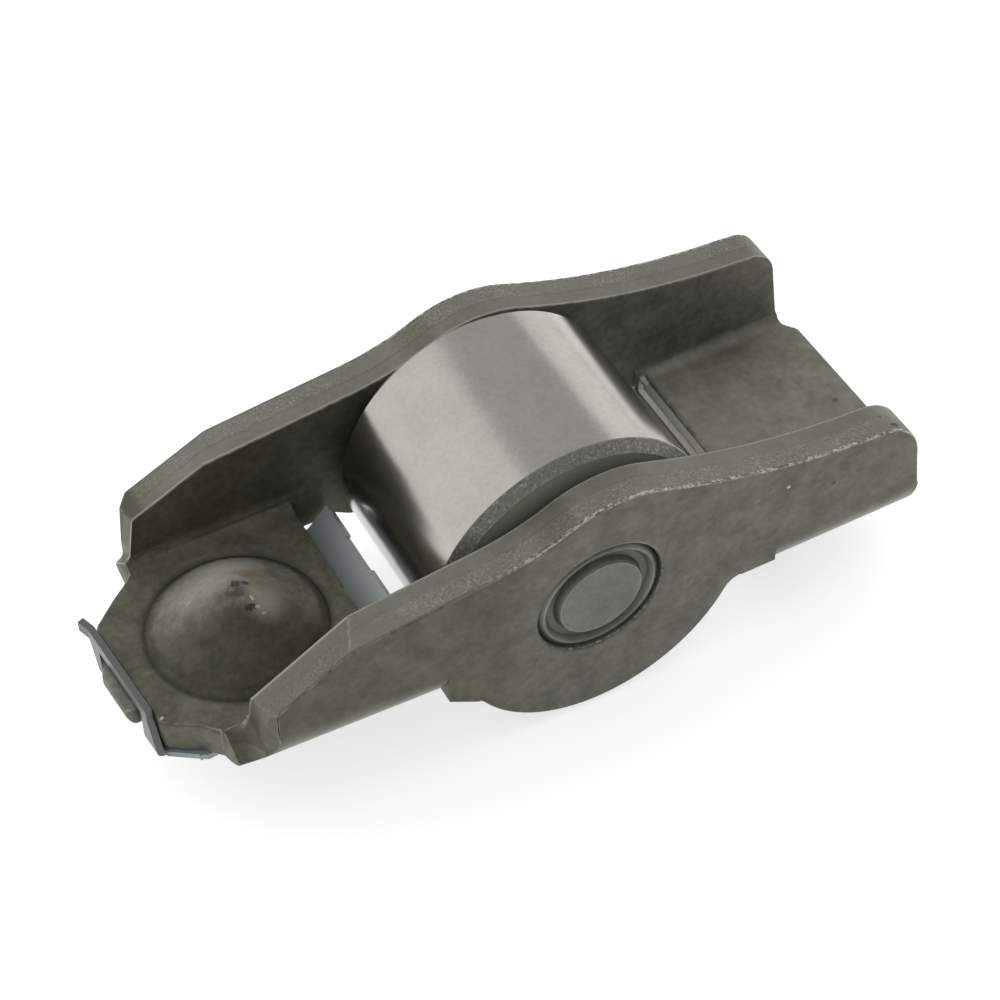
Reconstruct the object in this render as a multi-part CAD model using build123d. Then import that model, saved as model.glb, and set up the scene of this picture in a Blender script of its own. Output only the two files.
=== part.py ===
from build123d import *
import math
import os

# Roller finger follower: the sheet-steel rocker arm of an overhead-cam engine.
# One end has a ball socket that sits on the lash adjuster, the other end presses on the valve
# stem, and the cam runs on the roller between them.
# Millimetres. The origin is the centre of the ball socket, +X runs to the valve end, +Y runs
# across the lever, along the roller's axis, and +Z is up, towards the cam.

# Roller bearing
roller_diameter = 17.0
roller_width = 12.2
roller_chamfer_drop = 0.6
roller_chamfer_width = 0.6
roller_bore_chamfer = 0.3
axle_diameter = 7.8
needle_diameter = 1.8
needle_clearance = 0.02
needle_count = 16
needle_step = 360 / needle_count
needle_length = 11.4

# Where the roller's axis lies, seen from the ball socket
roller_x = 17.7
roller_z = 5.1

# Lever: sheet, channel and bends
sheet = 2.35
channel_width = 13.3
bend_inside = 1.15
bend_outside_at_nose = 4.3
bend_outside_at_ears = 3.0
bend_outside_at_pad = 3.2
pad_bend_inside = 0.8
socket_web_top = 3.65
pad_web_top = 2.6
pad_thickness = 2.6

# Lever: lengths along X, the nose from the ball socket and the other end from the roller's axis
nose_reach = 6.65
wall_reach_far = 21.7
wall_reach_near = 21.25
pad_reach = 22.45

# Lever: window for the roller, measured from the roller's axis
window_to_socket = 11.4
window_to_pad = 11.65
window_half_width = 6.45
window_edge_roll = 0.5
window_edge_drop = 0.3

# Lever: ears that carry the axle, hanging below the arms
ear_radius = 8.9
ear_centre_shift = 0.25
ear_shoulder = 3.3
ear_lead_socket_side = 0.75
ear_lead_pad_side = 2.35
ear_shoulder_fall = 32.0
ear_throat_blend = 1.2

# Lever: top line of the walls, a crest over the axle between two hollows
crest_rise = 7.4
crest_shift = 1.0
crest_radius = 7.15
crest_angle_socket_side = 26.5
crest_angle_pad_side = 21.8
hollow_radius_socket_side = 13.6
hollow_radius_pad_side = 44.6
top_slope_socket_side = 6.5
top_slope_pad_side = 4.0
wall_corner_radius_far = 1.9
wall_corner_radius_near = 2.9
wall_end_lean = 8.0
wall_end_foot = 1.0

# Lever: slanted facets at the socket end of the wall tops
facet_start = 2.6
facet_twist = 25.0
facet_fall_near = 31.0
facet_fall_far = 25.6

# Lever: ends of the walls over the socket, cut a little askew with the nose
end_skew = 4.2
wall_start = 2.85
wall_start_lean = 9.0
wall_corner_cut_far = 1.1
wall_corner_cut_near = 0.57
relief_radius_far = 0.5
relief_radius_near = 1.4
relief_lift_far = 0.4
relief_lift_near = 0.0
shoulder_half_width = 6.1
waist_reach = 4.9
waist_half_width = 5.1
waist_blend = 1.2
nose_half_width = 3.8
nose_corner_radius = 0.7

# Lever: plan outline of the valve pad
pad_root_half_width = 6.3
pad_tip_half_width = 5.4
pad_root_blend = 0.75
pad_corner_radius = 0.65

# Lever: dome over the ball socket, with a shallow ring pressed in around it
ball_radius = 4.5
dome_radius = 4.85
dome_flank_angle = 37.0
dome_tip_radius = 2.6
ring_bottom_radius = 5.1
ring_outer_radius = 5.6
ring_depth = 0.2

# Lever: boss on the nose that the clip snaps over
boss_half_width = 1.75
boss_lift = 0.3
boss_height = 1.4
boss_reach = 0.95
boss_radius = 0.5

# Staked ends of the axle
bore_edge_chamfer = 0.15
axle_recess = 0.06
button_radius = 2.55
groove_bottom_start = 2.75
groove_bottom_end = 3.15
groove_depth = 0.45
rim_crest_radius = 3.45
rim_crest_drop = 0.08
rim_edge_drop = 0.42

# Retaining clip, bent from thin spring steel
clip_sheet = 0.4
clip_gap = 0.02
clip_nose_gap = 0.1
clip_hole_radius = 4.75
clip_half_width = 5.4
clip_front_half_width = 4.0
clip_bar_top = 4.1
clip_bar_height = 0.75
clip_bar_far = 3.6
clip_bar_near = 3.1
clip_foot_far = 2.9
clip_foot_near = 3.9
clip_tip_length = 0.9
clip_tip_turn = 15.0
clip_window_half_width = 2.4
clip_slot_length = 0.8
clip_tail_gap = 0.65
clip_tail_bend = 1.0
clip_tail_angle = 48.0
clip_tail_reach = 2.1
clip_tail_half_width = 6.15
clip_tail_notch_depth = 0.3
clip_tail_notch_width = 2.9
clip_tail_notch_place = 2.1

# How near a corner must lie to a line or circle to count as on it
touch = 0.001

# Values that follow from the ones above
channel_half = channel_width / 2
outer_half = channel_half + sheet
socket_web_bottom = socket_web_top - sheet
pad_web_bottom = pad_web_top - pad_thickness
axle_radius = axle_diameter / 2
roller_radius = roller_diameter / 2
needle_radius = needle_diameter / 2
needle_pitch_radius = axle_radius + needle_clearance + needle_radius
roller_bore_radius = needle_pitch_radius + needle_radius + needle_clearance
window_start = roller_x - window_to_socket
window_end = roller_x + window_to_pad
wall_end_far = roller_x + wall_reach_far
wall_end_near = roller_x + wall_reach_near
pad_end = roller_x + pad_reach
ear_centre = roller_x + ear_centre_shift
ear_start = ear_centre - ear_radius - ear_lead_socket_side
ear_end = ear_centre + ear_radius + ear_lead_pad_side
shoulder_reach_far = wall_start + relief_radius_far
shoulder_reach_near = wall_start + relief_radius_near
clip_top = socket_web_bottom - clip_gap
clip_front = -nose_reach - clip_nose_gap
clip_tail_start = window_start + clip_tail_gap
far_reach = 2 * (pad_end + nose_reach)


def rise(angle):
    """Height gained per millimetre along a slope of this many degrees."""
    return math.tan(math.radians(angle))


def prism_across(face, half_width):
    """Solid from a face drawn in X and Z, the same on both sides of the lever's middle."""
    return extrude(Plane.XZ * face, half_width, both=True)


def prism_up(face, bottom, top):
    """Solid from a face drawn in X and Y, between two heights."""
    return extrude(Plane.XY.offset(bottom) * face, top - bottom)


def block(x_low, x_high, half_width, z_low, z_high):
    """Box between two places along X and two heights, centred across the lever."""
    centre = Pos((x_low + x_high) / 2, 0, (z_low + z_high) / 2)
    return centre * Box(x_high - x_low, 2 * half_width, z_high - z_low)


def skewed(shape):
    """The nose end's shear cut turned a little about the upright through the walls' ends."""
    return Pos(-wall_start, 0, 0) * Rot(Z=end_skew) * Pos(wall_start, 0, 0) * shape


def on_roller_axis(shape):
    """A shape drawn about Z, laid along the roller's axis."""
    return Pos(roller_x, 0, roller_z) * Rot(X=90) * shape


def rounded_bottom(x, half_width, bottom, radius):
    """Outline seen along X: upright sides and a flat bottom joined by round corners."""
    outline = Rectangle(2 * half_width, far_reach, align=(Align.CENTER, Align.MIN))
    corners = outline.vertices().sort_by(Axis.Y)[:2]
    return Plane.YZ.offset(x) * Pos(0, bottom) * fillet(corners, radius)


def socket_arm():
    """Arm at the ball end, whose outer bend tightens towards the ears."""
    front = -nose_reach - boss_reach
    start = rounded_bottom(front, outer_half, socket_web_bottom, bend_outside_at_nose)
    end = rounded_bottom(ear_start, outer_half, socket_web_bottom, bend_outside_at_ears)
    return loft([start, end], ruled=True)


def pad_arm():
    """Arm at the valve end."""
    section = rounded_bottom(ear_end, outer_half, pad_web_bottom, bend_outside_at_pad)
    return extrude(section, pad_end - ear_end)


def ears():
    """The flat plates around the axle, with their round ears below."""
    shoulder_z = roller_z - ear_shoulder
    run = ear_radius / 2
    plate = make_face(
        Polyline(
            (ear_start, far_reach),
            (ear_start, shoulder_z),
            (ear_start + run, shoulder_z - run * rise(ear_shoulder_fall)),
            (ear_centre, shoulder_z),
            (ear_end, shoulder_z),
            (ear_end, far_reach),
            close=True,
        )
    )
    outline = plate + Pos(ear_centre, roller_z) * Circle(ear_radius)
    middle = Vector(ear_centre, roller_z)
    throats = [
        corner
        for corner in outline.vertices()
        if abs((Vector(corner.X, corner.Y) - middle).length - ear_radius) < touch
        and corner.Y < roller_z
    ]
    return prism_across(fillet(throats, ear_throat_blend), outer_half)


def channel():
    """Space inside the lever: over both webs and right through between the ears."""
    over_socket = rounded_bottom(-far_reach, channel_half, socket_web_top, bend_inside)
    over_pad = rounded_bottom(ear_end, channel_half, pad_web_top, pad_bend_inside)
    between_ears = block(ear_start, ear_end, channel_half, -far_reach, far_reach)
    window = block(window_start, window_end, window_half_width, -far_reach, far_reach)
    socket_channel = extrude(over_socket, far_reach + ear_start)
    pad_channel = extrude(over_pad, far_reach)
    return [socket_channel, pad_channel, between_ears, window]


def window_edge():
    """Rolled-over edge of the pad where the punch went through the window."""
    outline = make_face(
        Polyline(
            (window_end - window_edge_roll, pad_web_top + window_edge_drop),
            (window_end + window_edge_roll, pad_web_top),
            (window_end, pad_web_top - window_edge_drop),
            close=True,
        )
    )
    return prism_across(outline, channel_half - pad_bend_inside)


def side_outline(wall_end, corner_radius):
    """Everything under the walls' top line, with the walls' rounded ends over the pad."""
    crest_x = roller_x + crest_shift
    crest_z = roller_z + crest_rise - crest_radius
    socket_turn = math.radians(crest_angle_socket_side)
    pad_turn = math.radians(crest_angle_pad_side)
    socket_side = (
        crest_x - crest_radius * math.sin(socket_turn),
        crest_z + crest_radius * math.cos(socket_turn),
    )
    pad_side = (
        crest_x + crest_radius * math.sin(pad_turn),
        crest_z + crest_radius * math.cos(pad_turn),
    )
    crest = ThreePointArc(socket_side, (crest_x, crest_z + crest_radius), pad_side)
    socket_hollow = JernArc(
        socket_side,
        (-math.cos(socket_turn), -math.sin(socket_turn)),
        hollow_radius_socket_side,
        top_slope_socket_side - crest_angle_socket_side,
    )
    pad_hollow = JernArc(
        pad_side,
        (math.cos(pad_turn), -math.sin(pad_turn)),
        hollow_radius_pad_side,
        crest_angle_pad_side - top_slope_pad_side,
    )
    start = socket_hollow @ 1
    end = pad_hollow @ 1
    nose_top = (-far_reach, start.Y - (start.X + far_reach) * rise(top_slope_socket_side))
    foot = (wall_end, pad_web_top)
    lean = rise(wall_end_lean)
    fall = rise(top_slope_pad_side)
    top_z = (end.Y - fall * (wall_end + lean * pad_web_top - end.X)) / (1 - lean * fall)
    wall_top = (wall_end - lean * (top_z - pad_web_top), top_z)
    border = Polyline(
        wall_top,
        foot,
        (far_reach, pad_web_top),
        (far_reach, -far_reach),
        (-far_reach, -far_reach),
        nose_top,
    )
    socket_line = Line(nose_top, start)
    pad_line = Line(end, wall_top)
    outline = make_face([socket_line, socket_hollow, crest, pad_hollow, pad_line, border])
    top_corner = outline.vertices().sort_by_distance((*wall_top, 0))[0]
    outline = fillet(top_corner, corner_radius)
    foot_corner = outline.vertices().sort_by_distance((*foot, 0))[0]
    return fillet(foot_corner, wall_end_foot), nose_top


def under_top_line():
    """The space that the walls may fill, with its own end corner on each side."""
    far_outline, nose_top = side_outline(wall_end_far, wall_corner_radius_far)
    near_outline, nose_top = side_outline(wall_end_near, wall_corner_radius_near)
    far_side = extrude(Plane.XZ * far_outline, -far_reach)
    near_side = extrude(Plane.XZ * near_outline, far_reach)
    kink_z = nose_top[1] + (facet_start + far_reach) * rise(top_slope_socket_side)
    return far_side + near_side, kink_z


def wall_starts():
    """What is cut away in front of the walls' leaning ends, clear of the bend below them."""
    bend_top = socket_web_top + bend_inside
    lean = (far_reach - bend_top) * rise(wall_start_lean)
    outline = make_face(
        Polyline(
            (-wall_start, bend_top),
            (-wall_start + lean, far_reach),
            (-far_reach, far_reach),
            (-far_reach, bend_top),
            close=True,
        )
    )
    return skewed(prism_across(outline, far_reach))


def relief(side, radius, lift):
    """Round relief cut through the bend, where a wall's end runs into the nose's edge."""
    outline = make_face(
        Polyline(
            (-wall_start, lift),
            (-wall_start, far_reach),
            (-far_reach, far_reach),
            (-far_reach, lift),
            close=True,
        )
    )
    root = outline.vertices().sort_by_distance((-wall_start, lift, 0))[0]
    outline = fillet(root, radius)
    bend_centre = (0, side * (channel_half - bend_inside), socket_web_top + bend_inside)
    through_bend = Plane(origin=bend_centre, x_dir=(1, 0, 0), z_dir=(0, side, -1))
    if side > 0:
        outline = mirror(outline, Plane.XZ)
    return skewed(extrude(through_bend * outline, far_reach, both=True))


def wall_corner(side, cut):
    """Broken outer corner of a wall's end over the socket."""
    corner = Pos(-wall_start, side * outer_half, 0)
    width = cut * math.sqrt(2)
    return skewed(corner * Rot(Z=45) * Box(width, width, far_reach))


def plan_outline():
    """Outline of the stamping seen from above."""
    nose = [
        (window_start, -far_reach),
        (-shoulder_reach_near, -far_reach),
        (-shoulder_reach_near, -shoulder_half_width),
        (-waist_reach, -waist_half_width),
        (-nose_reach, -nose_half_width),
        (-nose_reach, nose_half_width),
        (-waist_reach, waist_half_width),
        (-shoulder_reach_far, shoulder_half_width),
        (-shoulder_reach_far, far_reach),
        (window_start, far_reach),
    ]
    nose_face = make_face(Polyline(*nose, close=True))
    waists = nose_face.vertices().filter_by_position(Axis.X, -waist_reach, -waist_reach)
    nose_face = fillet(waists, waist_blend)
    tips = nose_face.vertices().sort_by(Axis.X)[:2]
    nose_face = fillet(tips, nose_corner_radius)
    pad = [
        (0, -far_reach),
        (wall_end_near, -far_reach),
        (wall_end_near, -pad_root_half_width),
        (pad_end, -pad_tip_half_width),
        (pad_end, pad_tip_half_width),
        (wall_end_far, pad_root_half_width),
        (wall_end_far, far_reach),
        (0, far_reach),
    ]
    pad_face = make_face(Polyline(*pad, close=True))
    tips = pad_face.vertices().sort_by(Axis.X)[-2:]
    pad_face = fillet(tips, pad_corner_radius)
    roots = [v for v in pad_face.vertices() if abs(abs(v.Y) - pad_root_half_width) < touch]
    pad_face = fillet(roots, pad_root_blend)
    nose_prism = skewed(prism_up(nose_face, -far_reach, far_reach))
    pad_prism = prism_up(pad_face, -far_reach, far_reach)
    return nose_prism + pad_prism


def facet(side, fall, height):
    """Space over one wall's slanted facet, met by the top line at the facet's start."""
    along_kink = Vector(rise(facet_twist), 1, rise(facet_twist) * rise(top_slope_socket_side))
    down_slope = Vector(-1, 0, -rise(fall))
    corner = Vector(facet_start, side * outer_half, height)
    plane = Plane(origin=corner, x_dir=along_kink, z_dir=along_kink.cross(down_slope))
    cutter = plane * Box(far_reach, far_reach, far_reach, align=(Align.CENTER, Align.CENTER, Align.MIN))
    over_bend = Pos(0, 0, socket_web_top + bend_inside) * Box(
        2 * roller_x, far_reach, far_reach, align=(Align.CENTER, Align.CENTER, Align.MIN)
    )
    one_side = Pos(0, side * far_reach / 2, 0)
    return cutter & (one_side * over_bend)


def dome():
    """Dome pressed up over the ball: a cone with a round tip."""
    flank = math.radians(dome_flank_angle)
    tip_z = socket_web_top + dome_radius * math.tan(flank) - dome_tip_radius / math.cos(flank)
    foot = (dome_radius, socket_web_top)
    tangent = (dome_tip_radius * math.sin(flank), tip_z + dome_tip_radius * math.cos(flank))
    apex = (0, tip_z + dome_tip_radius)
    middle = (
        dome_tip_radius * math.sin(flank / 2),
        tip_z + dome_tip_radius * math.cos(flank / 2),
    )
    lines = [
        Polyline(apex, (0, socket_web_bottom), (dome_radius, socket_web_bottom), foot, tangent),
        ThreePointArc(tangent, middle, apex),
    ]
    return revolve(Plane.XZ * make_face(lines), Axis.Z)


def ring():
    """Shallow ring pressed in around the dome."""
    groove = make_face(
        Polyline(
            (dome_radius, socket_web_top),
            (ring_bottom_radius, socket_web_top - ring_depth),
            (ring_outer_radius, socket_web_top),
            close=True,
        )
    )
    return revolve(Plane.XZ * groove, Axis.Z)


def boss():
    """Boss on the nose, rounded in front, that holds the clip's front blade."""
    body = block(
        -nose_reach - boss_reach,
        -waist_reach,
        boss_half_width,
        socket_web_bottom + boss_lift,
        socket_web_bottom + boss_lift + boss_height,
    )
    front = body.faces().sort_by(Axis.X)[0]
    return skewed(fillet(front.edges(), boss_radius))


def bore():
    """Hole for the axle through both ears, with a broken edge outside."""
    face = make_face(
        Polyline(
            (0, -outer_half),
            (axle_radius + bore_edge_chamfer, -outer_half),
            (axle_radius, -outer_half + bore_edge_chamfer),
            (axle_radius, outer_half - bore_edge_chamfer),
            (axle_radius + bore_edge_chamfer, outer_half),
            (0, outer_half),
            close=True,
        )
    )
    return on_roller_axis(revolve(Plane.XZ * face, Axis.Z))


def make_lever():
    """The stamped and bent lever, in one piece."""
    top_space, kink_z = under_top_line()
    body = socket_arm() + pad_arm() + ears()
    for space in channel():
        body = body - space
    body = body - window_edge()
    body = body & top_space
    body = body & plan_outline()
    body = body - wall_starts()
    body = body - relief(1, relief_radius_far, relief_lift_far)
    body = body - relief(-1, relief_radius_near, relief_lift_near)
    body = body - wall_corner(1, wall_corner_cut_far)
    body = body - wall_corner(-1, wall_corner_cut_near)
    body = body - facet(1, facet_fall_far, kink_z)
    body = body - facet(-1, facet_fall_near, kink_z)
    body = body + dome()
    body = body - ring()
    body = body - Sphere(ball_radius)
    body = body + boss()
    return body - bore()


def make_axle():
    """Axle, with its ends staked into the ears."""
    end = outer_half - axle_recess
    half = [
        (0, end),
        (button_radius, end),
        (groove_bottom_start, end - groove_depth),
        (groove_bottom_end, end - groove_depth),
        (rim_crest_radius, end - rim_crest_drop),
        (axle_radius, end - rim_edge_drop),
    ]
    other_half = [(radius, -height) for radius, height in reversed(half)]
    face = make_face(Polyline(*half, *other_half, close=True))
    return on_roller_axis(revolve(Plane.XZ * face, Axis.Z))


def make_roller():
    """Outer ring that the cam runs on."""
    half = roller_width / 2
    ring = make_face(
        Polyline(
            (roller_bore_radius, -half + roller_bore_chamfer),
            (roller_bore_radius + roller_bore_chamfer, -half),
            (roller_radius - roller_chamfer_drop, -half),
            (roller_radius, -half + roller_chamfer_width),
            (roller_radius, half - roller_chamfer_width),
            (roller_radius - roller_chamfer_drop, half),
            (roller_bore_radius + roller_bore_chamfer, half),
            (roller_bore_radius, half - roller_bore_chamfer),
            close=True,
        )
    )
    return on_roller_axis(revolve(Plane.XZ * ring, Axis.Z))


def make_needle(turn):
    """One bearing needle, turned to its place about the axle."""
    needle = Pos(needle_pitch_radius, 0, 0) * Cylinder(needle_radius, needle_length)
    return on_roller_axis(Rot(Z=turn) * needle)


def clip_strip(points, bends):
    """Bent strip of the clip's sheet, from its outline and the radii of its corners."""
    strip = make_face(Polyline(*points, close=True))
    for corner, radius in bends:
        vertex = strip.vertices().sort_by_distance((*corner, 0))[0]
        strip = fillet(vertex, radius)
    return strip


def clip_blade_outline():
    """Outline of the clip's front blade seen along X: two legs under a bar."""
    foot = clip_top - clip_sheet
    bar_bottom = clip_bar_top - clip_bar_height
    blade = Polyline(
        (-clip_bar_near, clip_bar_top),
        (clip_bar_far, clip_bar_top),
        (clip_bar_far, bar_bottom),
        (clip_foot_far, socket_web_bottom),
        (clip_foot_far, foot),
        (-clip_foot_near, foot),
        (-clip_foot_near, socket_web_bottom),
        (-clip_bar_near, bar_bottom),
        close=True,
    )
    opening = Pos(0, bar_bottom) * Rectangle(
        2 * clip_window_half_width, far_reach, align=(Align.CENTER, Align.MAX)
    )
    return make_face(blade) - opening


def clip_front_piece():
    """The clip's front blade and the plate's front, lying askew with the nose."""
    inside = (clip_front, clip_top)
    outside = (clip_front - clip_sheet, clip_top - clip_sheet)
    strip = clip_strip(
        [
            (clip_front, clip_bar_top),
            inside,
            (-wall_start, clip_top),
            (-wall_start, clip_top - clip_sheet),
            outside,
            (clip_front - clip_sheet, clip_bar_top),
        ],
        [(inside, clip_nose_gap), (outside, clip_nose_gap + clip_sheet)],
    )
    piece = prism_across(strip, clip_half_width)
    plan = make_face(
        Polyline(
            (-nose_reach, -clip_front_half_width),
            (-waist_reach, -clip_half_width),
            (0, -clip_half_width),
            (0, clip_half_width),
            (-waist_reach, clip_half_width),
            (-nose_reach, clip_front_half_width),
            close=True,
        )
    )
    slot_back = -nose_reach + clip_slot_length
    plate = piece & prism_up(plan, -far_reach, far_reach)
    plate = plate - block(-far_reach, slot_back, clip_window_half_width, -far_reach, far_reach)
    front = extrude(Plane.YZ.offset(-nose_reach) * clip_blade_outline(), -far_reach)
    blade = piece & front
    tip = Pos(clip_front, clip_bar_far, clip_bar_top) * Rot(Z=clip_tip_turn) * Box(
        clip_sheet,
        clip_tip_length,
        clip_bar_height,
        align=(Align.MAX, Align.MIN, Align.MAX),
    )
    return skewed(plate + blade + tip)


def clip_plate_and_tail():
    """The clip's plate under the socket, and its tail bent up inside the window."""
    angle = math.radians(clip_tail_angle)
    along = (math.cos(angle), math.sin(angle))
    inside = (clip_tail_start, clip_top)
    outside = (clip_tail_start + clip_sheet * math.tan(angle / 2), clip_top - clip_sheet)
    tip = (inside[0] + clip_tail_reach * along[0], inside[1] + clip_tail_reach * along[1])
    tip_below = (tip[0] + clip_sheet * along[1], tip[1] - clip_sheet * along[0])
    strip = clip_strip(
        [
            (-waist_reach, clip_top),
            inside,
            tip,
            tip_below,
            outside,
            (-waist_reach, clip_top - clip_sheet),
        ],
        [(inside, clip_tail_bend), (outside, clip_tail_bend + clip_sheet)],
    )
    piece = prism_across(strip, clip_tail_half_width)
    notch = Rot(Y=-clip_tail_angle) * Box(clip_tail_notch_depth, clip_tail_notch_width, far_reach)
    piece = piece - Pos(tip[0], clip_tail_notch_place, tip[1]) * notch
    under_web = block(-far_reach, window_start, clip_half_width, -far_reach, far_reach)
    in_window = block(window_start, far_reach, far_reach, -far_reach, far_reach)
    return piece & (under_web + in_window)


def make_clip():
    """Spring clip under the socket, hooked over the nose boss."""
    clip = clip_front_piece() + clip_plate_and_tail()
    return clip - Pos(0, 0, clip_top) * Cylinder(clip_hole_radius, far_reach)


def write_piece(name, shape):
    """Writes one node's solid."""
    export_step(shape, f"parts/{name}.step")


def main():
    """Builds every piece and writes it."""
    os.makedirs("parts", exist_ok=True)
    write_piece("lever", make_lever())
    write_piece("axle_pin", make_axle())
    write_piece("roller", make_roller())
    write_piece("retaining_clip", make_clip())
    for number in range(needle_count):
        write_piece(f"needle_{number + 1:02d}", make_needle(number * needle_step))


main()
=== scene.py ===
import logging
import math
from collections.abc import Callable
from dataclasses import dataclass
from enum import Enum

import bmesh
import bpy
from mathutils import Matrix, Vector
from mathutils.bvhtree import BVHTree
from mathutils.kdtree import KDTree


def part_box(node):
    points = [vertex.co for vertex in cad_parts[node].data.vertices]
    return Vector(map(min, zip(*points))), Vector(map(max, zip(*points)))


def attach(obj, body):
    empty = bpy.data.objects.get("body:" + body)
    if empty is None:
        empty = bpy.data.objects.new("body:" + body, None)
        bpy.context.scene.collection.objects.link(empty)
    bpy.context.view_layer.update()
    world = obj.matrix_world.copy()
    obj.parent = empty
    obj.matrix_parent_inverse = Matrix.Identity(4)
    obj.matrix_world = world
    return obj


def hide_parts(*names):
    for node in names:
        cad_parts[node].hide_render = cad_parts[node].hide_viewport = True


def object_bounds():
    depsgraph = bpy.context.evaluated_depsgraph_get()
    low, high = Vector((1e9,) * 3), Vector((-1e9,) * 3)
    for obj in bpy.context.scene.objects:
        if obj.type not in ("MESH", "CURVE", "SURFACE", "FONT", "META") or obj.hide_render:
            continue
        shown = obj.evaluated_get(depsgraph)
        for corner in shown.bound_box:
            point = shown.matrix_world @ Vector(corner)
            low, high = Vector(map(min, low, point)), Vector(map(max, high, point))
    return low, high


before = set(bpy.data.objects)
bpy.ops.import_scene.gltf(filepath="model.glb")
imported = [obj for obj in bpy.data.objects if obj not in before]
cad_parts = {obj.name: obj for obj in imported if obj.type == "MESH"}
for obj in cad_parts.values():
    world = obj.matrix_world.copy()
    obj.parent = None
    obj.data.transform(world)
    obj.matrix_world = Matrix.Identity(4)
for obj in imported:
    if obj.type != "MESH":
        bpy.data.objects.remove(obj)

CAD_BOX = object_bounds()

logging.basicConfig(level=logging.INFO, format="%(message)s")
log = logging.getLogger("roller_follower")

MM = 0.001
LEVER_BODY = "lever_body"
# Marks the middle of each broken edge, for its worn bare metal and painted highlight.
LIT_WORN_EDGE = "lit_worn_edge"
# The axle's x and z.
AXLE_MM = (17.7, 5.1)
# Corners of the CAD mesh that lie closer than this are one.
MERGE_MM = 0.002
# Faces that differ by less are joined, edges that turn by more are broken, and edges that still
# turn by more than the last one are shaded hard.
COPLANAR_DEGREES = 0.6
EDGE_DEGREES = 24.0
HARD_DEGREES = 50.0
# In widths of a broken edge: how far off the shape a corner counts as thrown, and how far from
# its root the edges are left sharp.
THROWN = 0.6
CLEAR = 1.5
# 50 is neutral, and above it a large face counts for more where faces share a corner.
LARGE_FACE_WEIGHT = 80

Socket = bpy.types.NodeSocket
Amount = float | Socket


def linear(colour: str) -> tuple[float, float, float, float]:
    """Turns an sRGB hex colour into linear light.

    Args:
        colour: Six hex digits after a number sign.

    Returns:
        Red, green, blue and an alpha of one.
    """
    values = []
    for start in (1, 3, 5):
        value = int(colour[start:start + 2], 16) / 255
        values.append(value / 12.92 if value <= 0.04045 else ((value + 0.055) / 1.055) ** 2.4)
    return (values[0], values[1], values[2], 1.0)


def add_node(tree: bpy.types.NodeTree, kind: str, settings: dict | None = None,
             inputs: dict | None = None) -> bpy.types.Node:
    """Adds one node with its settings and links.

    Args:
        tree: The node tree that gets the node.
        kind: The node's type in Blender.
        settings: Its properties by name.
        inputs: Its input sockets by name or number, each with a value or the socket that feeds it.

    Returns:
        The new node.
    """
    node = tree.nodes.new(kind)
    for name, value in (settings or {}).items():
        setattr(node, name, value)
    for name, value in (inputs or {}).items():
        if isinstance(value, Socket):
            tree.links.new(value, node.inputs[name])
        else:
            node.inputs[name].default_value = value
    return node


class Blend(Enum):
    """How a colour is laid over the present one."""

    COVER = "MIX"
    DARKEN = "MULTIPLY"
    LIGHTEN = "ADD"


@dataclass(frozen=True)
class Finish:
    """A metal's surface: its colours, gloss and relief.

    The colour runs between three tones in soft clouds, and the relief is a grain with pits.
    bare_metal is the share of bare metal, and the rest is a dull oxide film.
    """

    name: str
    dark: str
    middle: str
    light: str
    roughness: float
    roughness_spread: float
    bare_metal: float
    cloud_mm: float
    grain_mm: float
    grain_depth_mm: float
    pit_mm: float
    pit_depth_mm: float
    cloud_share: float = 0.6
    speck_grains: float = 2.5
    tones_at: tuple[float, float, float] = (0.38, 0.5, 0.62)
    pit_radius: float = 0.16

    def build(self) -> "Shading":
        """Starts the finish's material, with its clouds of colour and its relief.

        Returns:
            The shading, to which a piece may add its own zones.
        """
        shading = Shading(self.name, self.bare_metal)
        cloud = shading.noise(self.cloud_mm, detail=5.0)
        speck = shading.noise(self.grain_mm * self.speck_grains, rough=0.5)
        mixed = shading.math("ADD", shading.math("MULTIPLY", cloud, self.cloud_share),
                             shading.math("MULTIPLY", speck, 1 - self.cloud_share))
        ramp = add_node(shading.tree, "ShaderNodeValToRGB", inputs={0: mixed})
        stops = ramp.color_ramp.elements
        stops[0].position, middle_at, stops[1].position = self.tones_at
        stops[0].color = linear(self.dark)
        stops[1].color = linear(self.light)
        stops.new(middle_at).color = linear(self.middle)
        shading.colour = ramp.outputs["Color"]
        shading.roughness = shading.math(
            "ADD", self.roughness - self.roughness_spread,
            shading.math("MULTIPLY", speck, 2 * self.roughness_spread))
        grain = shading.noise(self.grain_mm, detail=4.0, rough=0.65)
        shading.height = shading.math("MULTIPLY", grain, self.grain_depth_mm)
        shading.raise_height(shading.dots(self.pit_mm, self.pit_radius), -self.pit_depth_mm)
        return shading


@dataclass(frozen=True)
class Mark:
    """One small dent, speck, stain or scratch at its own place on a piece."""

    place_mm: tuple[float, float, float]
    size_mm: tuple[float, float, float]
    colour: str
    strength: float
    depth_mm: float = 0.0
    ragged: float = 1.8
    inner: float = 1.5
    outer: float = 1.9


@dataclass(frozen=True)
class Patch:
    """A round patch seen from above, full up to its inner radius and gone at its outer one."""

    centre_mm: tuple[float, float]
    inner_mm: float
    outer_mm: float


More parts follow.
